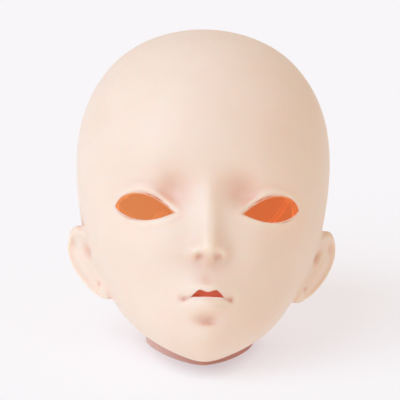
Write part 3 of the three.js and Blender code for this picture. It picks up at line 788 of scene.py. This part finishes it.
def nickel_plate():
    """Nickel plating on a pressed disc magnet: warm grey metal, duller in patches a millimetre wide."""
    made, tree, place = material("nickel plating, tumbled")
    patch = add(tree, "ShaderNodeTexNoise", {"Vector": place, "Scale": per(PLATE_PATCH_SIZE), "Detail": 3.0})
    rough = add(tree, "ShaderNodeMapRange", {"Value": patch.outputs["Fac"], "To Min": 0.18, "To Max": 0.4})
    tone = add(tree, "ShaderNodeMix", {
        SHARE: patch.outputs["Fac"], FIRST: linear("#c9c7c2"), SECOND: linear("#bab5ab"),
    }, data_type="RGBA")
    shader = add(tree, "ShaderNodeBsdfPrincipled", {
        "Base Color": tone.outputs[COLOUR], "Roughness": rough.outputs["Result"], "Metallic": 1.0,
    })
    add(tree, "ShaderNodeOutputMaterial", {"Surface": shader.outputs["BSDF"]})
    return made


def linked(name, data):
    """Object of some data, in the scene."""
    obj = bpy.data.objects.new(name, data)
    bpy.context.scene.collection.objects.link(obj)
    return obj


def piece(name, patches, slots=OUTSIDE):
    """Closed mesh object of grid patches, welded where they meet, faced outwards, each in a resin slot."""
    points = np.concatenate([p.reshape(-1, 3) for p in patches])
    starts = np.cumsum([0] + [p.shape[0] * p.shape[1] for p in patches])
    faces = np.concatenate([grid_faces(p.shape[0], p.shape[1], s) for p, s in zip(patches, starts)])
    mesh = bpy.data.meshes.new(name)
    mesh.from_pydata(points, [], faces.tolist())
    for finish in FINISHES:
        mesh.materials.append(finish)
    counts = [(p.shape[0] - 1) * p.shape[1] for p in patches]
    face_slots = np.repeat(np.broadcast_to(slots, len(patches)), counts)
    mesh.polygons.foreach_set("material_index", face_slots.astype(np.int32))
    work = bmesh.new()
    work.from_mesh(mesh)
    bmesh.ops.remove_doubles(work, verts=work.verts, dist=WELD)
    bmesh.ops.dissolve_degenerate(work, edges=work.edges, dist=SLIVER)
    bmesh.ops.recalc_face_normals(work, faces=work.faces)
    bmesh.ops.triangulate(work, faces=work.faces)
    work.to_mesh(mesh)
    work.free()
    return linked(name, mesh)


def combine(obj, other, how):
    """Solid operation of one piece with another, which is then used up."""
    cut = obj.modifiers.new(how, "BOOLEAN")
    cut.operation = how
    cut.solver = "MANIFOLD"
    cut.object = other
    bpy.context.view_layer.update()
    made = bpy.data.meshes.new_from_object(obj.evaluated_get(bpy.context.evaluated_depsgraph_get()))
    obj.modifiers.clear()
    obj.data = made
    bpy.data.objects.remove(other)
    return obj


def copy_of(obj, name):
    """Second object with a copy of a mesh."""
    return linked(name, obj.data.copy())


# Frames of the rest pose and of the parting face, whose y axis points off the shell
TO_REST = Matrix.Rotation(-REST_TILT, 4, "X")
PARTING = Matrix.Translation((0, PARTING_BACK, 0)) @ Matrix.Rotation(PARTING_LEAN, 4, "X")


def parting_reach(middle_up, direction):
    """Distance across the parting face from a middle height to the head's outside, found by halving."""
    low = np.zeros_like(direction)
    high = np.full_like(direction, FAR)
    for _ in range(HALVINGS):
        reach = (low + high) / 2
        across = np.stack([reach * np.cos(direction), 0 * reach, middle_up + reach * np.sin(direction)], -1)
        x, y, z = np.moveaxis(turned(across, PARTING), -1, 0)
        angle = pole_angle(z)
        back = y - section_centre(angle)
        inside = np.hypot(x, back) < section_radius(angle, np.arctan2(x, -back))
        low = np.where(inside, reach, low)
        high = np.where(inside, high, reach)
    return low


# Outline of the head at the parting, round its middle, and the magnets' bosses and pockets inside it
ROUND = np.linspace(0, 2 * np.pi, PARTING_STEPS, endpoint=False)
OVER, UNDER = parting_reach(0, np.array([np.pi / 2, -np.pi / 2]))
PARTING_MIDDLE = (OVER - UNDER) / 2
PARTING_OUTLINE = parting_reach(PARTING_MIDDLE, ROUND)
BOSS_RADIUS = MAGNET_RADIUS + MAGNET_CLEARANCE + BOSS_WALL
POCKET_RADIUS = MAGNET_RADIUS + MAGNET_CLEARANCE
POCKET_DEPTH = MAGNET_THICKNESS + MAGNET_CLEARANCE
MAGNET_REACH = parting_reach(PARTING_MIDDLE, MAGNET_BEARINGS) - BOSS_RADIUS - BOSS_WALL / 2


def parting_ring(inset, start, end):
    """Prism off the parting face whose outline is the head's outline there, drawn in."""
    reach = PARTING_OUTLINE - inset
    outline = np.stack([reach * np.cos(ROUND), PARTING_MIDDLE + reach * np.sin(ROUND)], -1)
    return turned(prism_patch((0, PARTING_MIDDLE), outline, start, end), PARTING)


def rods(radius, start, end):
    """Round rods square to the parting face, one at each magnet."""
    made = []
    for reach, bearing in zip(MAGNET_REACH, MAGNET_BEARINGS):
        middle = np.array([reach * math.cos(bearing), PARTING_MIDDLE + reach * math.sin(bearing)])
        outline = middle + radius * np.stack([np.cos(ROUND[::3]), np.sin(ROUND[::3])], -1)
        made.append(turned(prism_patch(middle, outline, start, end), PARTING))
    return made


def slab(frame_matrix, start, end):
    """Wide block between two depths along the y axis of a frame."""
    corners = FAR * np.array([(-1, -1), (1, -1), (1, 1), (-1, 1)], float)
    return turned(prism_patch((0, 0), corners, start, end), frame_matrix)


# The neck stands on the table, below the lowest point of the tipped head
OUTER_PATCHES = outer_patches()
TIPPED = np.concatenate([turned(p.reshape(-1, 3), TO_REST) for p in OUTER_PATCHES[:3]])
RIM_LEVEL = TIPPED[:, 2].min() - CHIN_CLEARANCE
NECK = TO_REST.inverted() @ Matrix.Translation((0, -NECK_FORWARD, RIM_LEVEL))
UNDER_TABLE = NECK @ Matrix.Rotation(math.radians(90), 4, "X")
SOCKET_RADIUS = (SOCKET_MOUTH_RADIUS**2 + SOCKET_DEPTH**2) / (2 * SOCKET_DEPTH)
COLLAR = (
    (0, 0), (NECK_RIM_RADIUS, 0), (NECK_RIM_RADIUS - COLLAR_WAIST, 0.3 * COLLAR_HEIGHT),
    (NECK_RIM_RADIUS - COLLAR_WAIST, 0.8 * COLLAR_HEIGHT), (0, COLLAR_HEIGHT),
)
HOLE_TOP = SOCKET_DEPTH + 2 * WALL
NECK_HOLE = ((0, -PAST), (NECK_HOLE_RADIUS, -PAST), (NECK_HOLE_RADIUS, HOLE_TOP), (0, HOLE_TOP))


def socket_ball(radius, slot):
    """Ball about the middle of the neck socket."""
    return piece("socket", [turned(ball_patch(radius, (0, 0, SOCKET_DEPTH - SOCKET_RADIUS)), NECK)], slot)


def values_of(items, field, kind, width=1):
    """One field of all the items of a mesh as an array, of so many numbers an item."""
    values = np.empty(len(items) * width, kind)
    items.foreach_get(field, values)
    return values.reshape(-1, width) if width > 1 else values


def distance_to(line, points, chosen, parts=64):
    """Distance from each chosen point to the nearest point of a line, and far for all the others.
    It is worked out in parts to save memory."""
    gaps = np.full(len(points), FAR)
    for part in np.array_split(np.flatnonzero(chosen), parts):
        gaps[part] = np.sqrt(((points[part, None] - line[None]) ** 2).sum(-1).min(1))
    return gaps


def smooth_points(points, edges, weight):
    """Moves points part of the way to the mean of their neighbours, by their weight, pass after pass."""
    edges = edges[(weight[edges] > 0).any(1)]
    count = np.bincount(edges.ravel(), minlength=len(points))
    step = EAR_ROOT_STEP * weight * (count > 0)
    for _ in range(EAR_ROOT_PASSES):
        total = np.zeros_like(points)
        np.add.at(total, edges[:, 0], points[edges[:, 1]])
        np.add.at(total, edges[:, 1], points[edges[:, 0]])
        mean = total / np.maximum(1, count)[:, None]
        points += step[:, None] * (mean - points)


def press_ear_hollows(points, wide):
    """Presses the ears' hollows into their fronts, on both sides alike."""
    outward, upward, facing, centre = ear_axes()
    mirror = np.ones_like(points)
    mirror[:, 0] = np.sign(points[:, 0])
    away = points * mirror - centre
    depth = sum_of(EAR_HOLLOWS, away @ outward, away @ upward)
    depth *= wide * smooth(-1, 0.5, away @ facing)
    points += depth[:, None] * facing * mirror


def finish_ears(obj):
    """Smooths the head where the ears meet it, most at the meeting line and none a root's reach away, and
    presses the ears' hollows in. The ears come in the mouth's slot, which tells their faces apart, and
    leave in the outside's."""
    mesh = obj.data
    points = values_of(mesh.vertices, "co", float, 3)
    slots = values_of(mesh.polygons, "material_index", np.int32)
    corners = values_of(mesh.loops, "vertex_index", np.int32)
    edges = values_of(mesh.edges, "vertices", np.int32, 2)
    owner = np.repeat(slots, values_of(mesh.polygons, "loop_total", np.int32))
    wide = np.abs(points[:, 0]) > EYE_X
    on_ear = np.zeros(len(points), bool)
    on_ear[corners[owner == MOUTH]] = True
    on_head = np.zeros(len(points), bool)
    on_head[corners[owner == OUTSIDE]] = True
    gaps = distance_to(points[on_ear & on_head & wide], points, wide)
    smooth_points(points, edges, 1 - smooth(0, EAR_ROOT_BLEND, gaps))
    press_ear_hollows(points, wide)
    mesh.vertices.foreach_set("co", points.ravel())
    middle = values_of(mesh.polygons, "center", float, 3)
    slots[(slots == MOUTH) & (np.abs(middle[:, 0]) > EYE_X)] = OUTSIDE
    mesh.polygons.foreach_set("material_index", slots)
    mesh.update()


def build_outside():
    """Head with ears and neck collar, cut level at the rim that it stands on."""
    made = piece("outside", OUTER_PATCHES, [OUTSIDE] * 3 + [INSIDE] * 2 + [MOUTH])
    for side in (1, -1):
        combine(made, piece("ear", [ear_patch(side)], MOUTH), "UNION")
    finish_ears(made)
    combine(made, piece("collar", [turned(collar_patch(), NECK)]), "UNION")
    return combine(made, piece("table", [slab(UNDER_TABLE, -FAR, 0)]), "DIFFERENCE")


def build_hollow():
    """Inside of the head, kept off the neck socket, with a round well behind each eye opening."""
    made = piece("hollow", [inner_patch()], INSIDE)
    combine(made, socket_ball(SOCKET_RADIUS + WALL, INSIDE), "DIFFERENCE")
    behind = LID_THICKNESS + EYE_WELL_RADIUS
    x = EYE_X - behind * math.sin(EYE_TURN)
    y = behind * math.cos(EYE_TURN) - face_depth(EYE_X, EYE_Z)
    for side in (1, -1):
        combine(made, piece("well", [ball_patch(EYE_WELL_RADIUS, (side * x, y, EYE_Z))], INSIDE), "UNION")
    return made


def build_shell(outside, hollow):
    """Face shell: walls ahead of the parting face, with magnet bosses and a rabbet for the cap's tongue."""
    made = copy_of(outside, "face_shell_skin")
    combine(made, copy_of(hollow, "hollow"), "DIFFERENCE")
    step = WALL - TONGUE_THICKNESS - TONGUE_CLEARANCE
    rabbet = parting_ring(step, -TONGUE_LENGTH - TONGUE_CLEARANCE, PAST)
    combine(made, piece("rabbet", [rabbet], INSIDE), "DIFFERENCE")
    bosses = piece("bosses", rods(BOSS_RADIUS, -BOSS_LENGTH, PAST), INSIDE)
    combine(made, combine(bosses, copy_of(outside, "outside"), "INTERSECT"), "UNION")
    combine(made, piece("behind", [slab(PARTING, 0, FAR)]), "DIFFERENCE")
    combine(made, piece("pockets", rods(POCKET_RADIUS, -POCKET_DEPTH, PAST)), "DIFFERENCE")
    combine(made, socket_ball(SOCKET_RADIUS, OUTSIDE), "DIFFERENCE")
    return combine(made, piece("hole", [turned(lathe_patch(NECK_HOLE), NECK)]), "DIFFERENCE")


def build_cap(outside, hollow):
    """Head cap: walls behind the parting face, with magnet bosses and a tongue that stops at the bosses."""
    made = copy_of(outside, "head_cap_skin")
    combine(made, copy_of(hollow, "hollow"), "DIFFERENCE")
    bosses = piece("bosses", rods(BOSS_RADIUS, 0, PARTING_GAP + BOSS_LENGTH), INSIDE)
    combine(made, combine(bosses, copy_of(outside, "outside"), "INTERSECT"), "UNION")
    combine(made, piece("ahead", [slab(PARTING, -FAR, PARTING_GAP)]), "DIFFERENCE")
    tongue_inset = WALL - TONGUE_THICKNESS
    ledge = parting_ring(tongue_inset, -FAR, PARTING_GAP + LEDGE_STEP)
    combine(made, piece("ledge", [ledge], INSIDE), "DIFFERENCE")
    tongue = piece("tongue", [parting_ring(tongue_inset, -TONGUE_LENGTH, PARTING_GAP + PAST)], INSIDE)
    combine(tongue, piece("bore", [parting_ring(WALL, -FAR, FAR)], INSIDE), "DIFFERENCE")
    breaks = rods(BOSS_RADIUS + TONGUE_CLEARANCE, -FAR, PARTING_GAP)
    combine(tongue, piece("breaks", breaks, INSIDE), "DIFFERENCE")
    combine(made, tongue, "UNION")
    pockets = rods(POCKET_RADIUS, -PAST, PARTING_GAP + POCKET_DEPTH)
    return combine(made, piece("pockets", pockets), "DIFFERENCE")


outside = build_outside()
hollow = build_hollow()
head = build_shell(outside, hollow)
cap = build_cap(outside, hollow)
for used in (outside, hollow):
    bpy.data.objects.remove(used)

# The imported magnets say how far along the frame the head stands
magnet = rods(MAGNET_RADIUS, -MAGNET_THICKNESS, 0)[0].reshape(-1, 3)
shift_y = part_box("shell_magnet_upper_left")[0][1] - turned(magnet, TO_REST)[:, 1].min() * MM
STAND = Matrix.Translation((0, shift_y, -RIM_LEVEL * MM)) @ TO_REST @ Matrix.Scale(MM, 4)
for obj in (head, cap):
    obj.data.transform(STAND)
    obj.data.polygons.foreach_set("use_smooth", np.ones(len(obj.data.polygons), bool))
    obj.data.set_sharp_from_angle(angle=SHARP_EDGE)

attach(head, "head")
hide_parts("face_shell")
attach(cap, "cap")
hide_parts("head_cap")
plating = nickel_plate()
for name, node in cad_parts.items():
    if "magnet" in name:
        node.material_slots[0].material = plating

# Table, lights and camera in metres, and the reach of the painted shade under what stands there in
# millimetres
TABLE_HALF = 3.0
CONTACT_SHADE_SIZE = 5.0
ROOM_STRENGTH = 0.69
WINDOW_STRENGTH = 2.1
WINDOW_SPREAD = math.radians(55)
WINDOW_HEADING = Vector((0.6, 0.48, -0.64))
CAMERA_TARGET = Vector((-0.0008, 0, 0.0363))
CAMERA_DISTANCE = 0.6
CAMERA_AZIMUTH = math.radians(-2.5)
CAMERA_ELEVATION = math.radians(14)
CAMERA_ROLL = math.radians(1.9)
FRAME_WIDTH = 0.104
SENSOR_WIDTH = 36


def table_top():
    """Matt white board in a bright room: pale all over by a glow of its own, with painted shade that darkens
    it close under whatever stands on it.
    """
    made, tree, _ = material("matt white table")
    # Painted shade: the board's own glow is dimmed where something stands close over it
    open_sky = add(tree, "ShaderNodeAmbientOcclusion", {"Distance": CONTACT_SHADE_SIZE * MM}, samples=16)
    contact_shaded_glow = add(tree, "ShaderNodeMapRange", {"Value": open_sky.outputs["AO"], "To Min": 0.4, "To Max": 0.56})
    shader = add(tree, "ShaderNodeBsdfPrincipled", {
        "Base Color": linear("#beb6a8"), "Roughness": 0.7,
        "Emission Color": linear("#eaf0ff"), "Emission Strength": contact_shaded_glow.outputs["Result"],
    })
    add(tree, "ShaderNodeOutputMaterial", {"Surface": shader.outputs["BSDF"]})
    return made


def lay_table():
    """Wide flat table under the head."""
    corners = [(x * TABLE_HALF, y * TABLE_HALF, 0) for x, y in ((-1, -1), (1, -1), (1, 1), (-1, 1))]
    mesh = bpy.data.meshes.new("table")
    mesh.from_pydata(corners, [], [(0, 1, 2, 3)])
    mesh.materials.append(table_top())
    return linked("table", mesh)


def light_studio():
    """Warm even room, and a wide cool window ahead of the doll, above it and to its right."""
    world = bpy.data.worlds.new("studio")
    bpy.context.scene.world = world
    world.use_nodes = True
    room = world.node_tree.nodes["Background"]
    room.inputs["Color"].default_value = linear("#ffeede")
    room.inputs["Strength"].default_value = ROOM_STRENGTH
    window = bpy.data.lights.new("window", "SUN")
    window.energy = WINDOW_STRENGTH
    window.color = linear("#b8daff")[:3]
    window.angle = WINDOW_SPREAD
    linked("window", window).rotation_euler = WINDOW_HEADING.to_track_quat("-Z", "Y").to_euler()


def aim_camera():
    """Long lens from a little above, rolled with the photograph; the frame's width is at the target."""
    away = Vector((
        math.sin(CAMERA_AZIMUTH) * math.cos(CAMERA_ELEVATION),
        -math.cos(CAMERA_AZIMUTH) * math.cos(CAMERA_ELEVATION),
        math.sin(CAMERA_ELEVATION),
    ))
    lens = bpy.data.cameras.new("camera")
    lens.sensor_width = SENSOR_WIDTH
    lens.lens = SENSOR_WIDTH * CAMERA_DISTANCE / FRAME_WIDTH
    camera = linked("camera", lens)
    camera.location = CAMERA_TARGET + away * CAMERA_DISTANCE
    aim = (-away).to_track_quat("-Z", "Y").to_matrix() @ Matrix.Rotation(CAMERA_ROLL, 3, "Z")
    camera.rotation_euler = aim.to_euler()
    bpy.context.scene.camera = camera


floor = lay_table()
light_studio()
aim_camera()
bpy.context.scene.view_settings.view_transform = "Standard"
